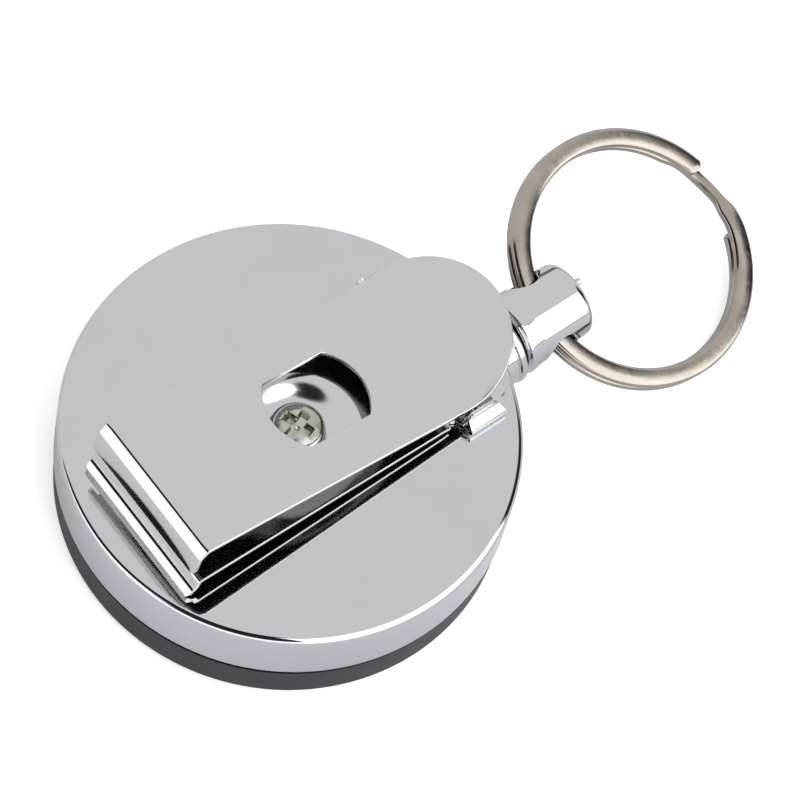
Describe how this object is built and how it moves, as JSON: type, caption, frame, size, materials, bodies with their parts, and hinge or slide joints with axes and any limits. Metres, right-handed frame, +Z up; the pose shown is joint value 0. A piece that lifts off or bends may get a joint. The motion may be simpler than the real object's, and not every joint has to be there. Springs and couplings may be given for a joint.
{
  "type": "retractable badge reel",
  "caption": "Round sprung cord reel with a chromed back cup, a pinching belt clip with a thumb pad, and a split ring carried on a bell-shaped ferrule.",
  "frame": {"origin": "centre of the front cover's flat outer face, which the reel rests on", "axes": "+Z up through the back cup and the belt clip, +X the way the cord leaves, +Y to the left of the cord"},
  "size_m": [0.0696, 0.04, 0.0186],
  "materials": {
    "cover_plastic": "satin black moulded plastic",
    "cup_chrome": "chrome plated drawn steel",
    "bright_chrome": "bright chrome plate",
    "clip_chrome": "chrome plated sheet steel with bright cut edges",
    "ring_nickel": "nickel plated hardened wire",
    "screw_zinc": "zinc plate",
    "plain_steel": "plain turned or pressed steel",
    "spring_steel": "blued strip",
    "crimp_brass": "plain brass",
    "black_nylon": "matt black nylon",
    "white_nylon": "natural nylon",
    "drum_plastic": "moulded acetal",
    "cord_nylon": "black braided nylon cord"
  },
  "bodies": {
    "case": {"front_cover": "cover_plastic", "back_cup": "cup_chrome", "centre_post": "plain_steel", "outlet_neck": "bright_chrome", "outlet_bushing": "black_nylon", "power_spring": "spring_steel", "lower_washer": "white_nylon", "upper_washer": "white_nylon", "cord_lead": "cord_nylon", "clip_base": "clip_chrome", "clip_pin": "plain_steel", "clip_spring": "spring_steel", "clip_screw": "screw_zinc"},
    "drum": {"spool": "drum_plastic", "spring_cover": "plain_steel", "cord_winding": "cord_nylon"},
    "cord_tip": {"cord_end": "cord_nylon", "cord_crimp": "crimp_brass"},
    "ferrule": {"ferrule": "bright_chrome"},
    "ring": {"split_ring": "ring_nickel"},
    "lever": {"clip_lever": "clip_chrome"}
  },
  "joints": [
    {"name": "cord_pull", "type": "slide", "parent": "case", "child": "cord_tip", "axis": [1, 0, 0], "range_m": [0, 0.55], "stiffness_N_per_m": 1.5, "springref_m": -0.4},
    {"name": "drum_spin", "type": "hinge", "parent": "case", "child": "drum", "pos_m": [0, -0.0006, 0.006], "axis": [0, 0, 1], "range_deg": [0, 2600], "deforming": ["power_spring"]},
    {"name": "ferrule_twist", "type": "hinge", "parent": "cord_tip", "child": "ferrule", "pos_m": [0.0228, -0.0017, 0.006], "axis": [1, 0, 0], "range_deg": [-90, 90]},
    {"name": "ring_swing", "type": "hinge", "parent": "ferrule", "child": "ring", "pos_m": [0.0269, -0.0016, 0.0066], "axis": [0, 0.9472, 0.3206], "range_deg": [-90, 75]},
    {"name": "clip_open", "type": "hinge", "parent": "case", "child": "lever", "pos_m": [0.0136, -0.0006, 0.0128], "axis": [0, 1, 0], "range_deg": [0, 18], "stiffness_Nm_per_rad": 0.3, "springref_deg": -22.92, "deforming": ["clip_spring"]}
  ],
  "couplings": [
    {"joint": "drum_spin", "follows": "cord_pull", "rad_per_m": 81.3}
  ]
}
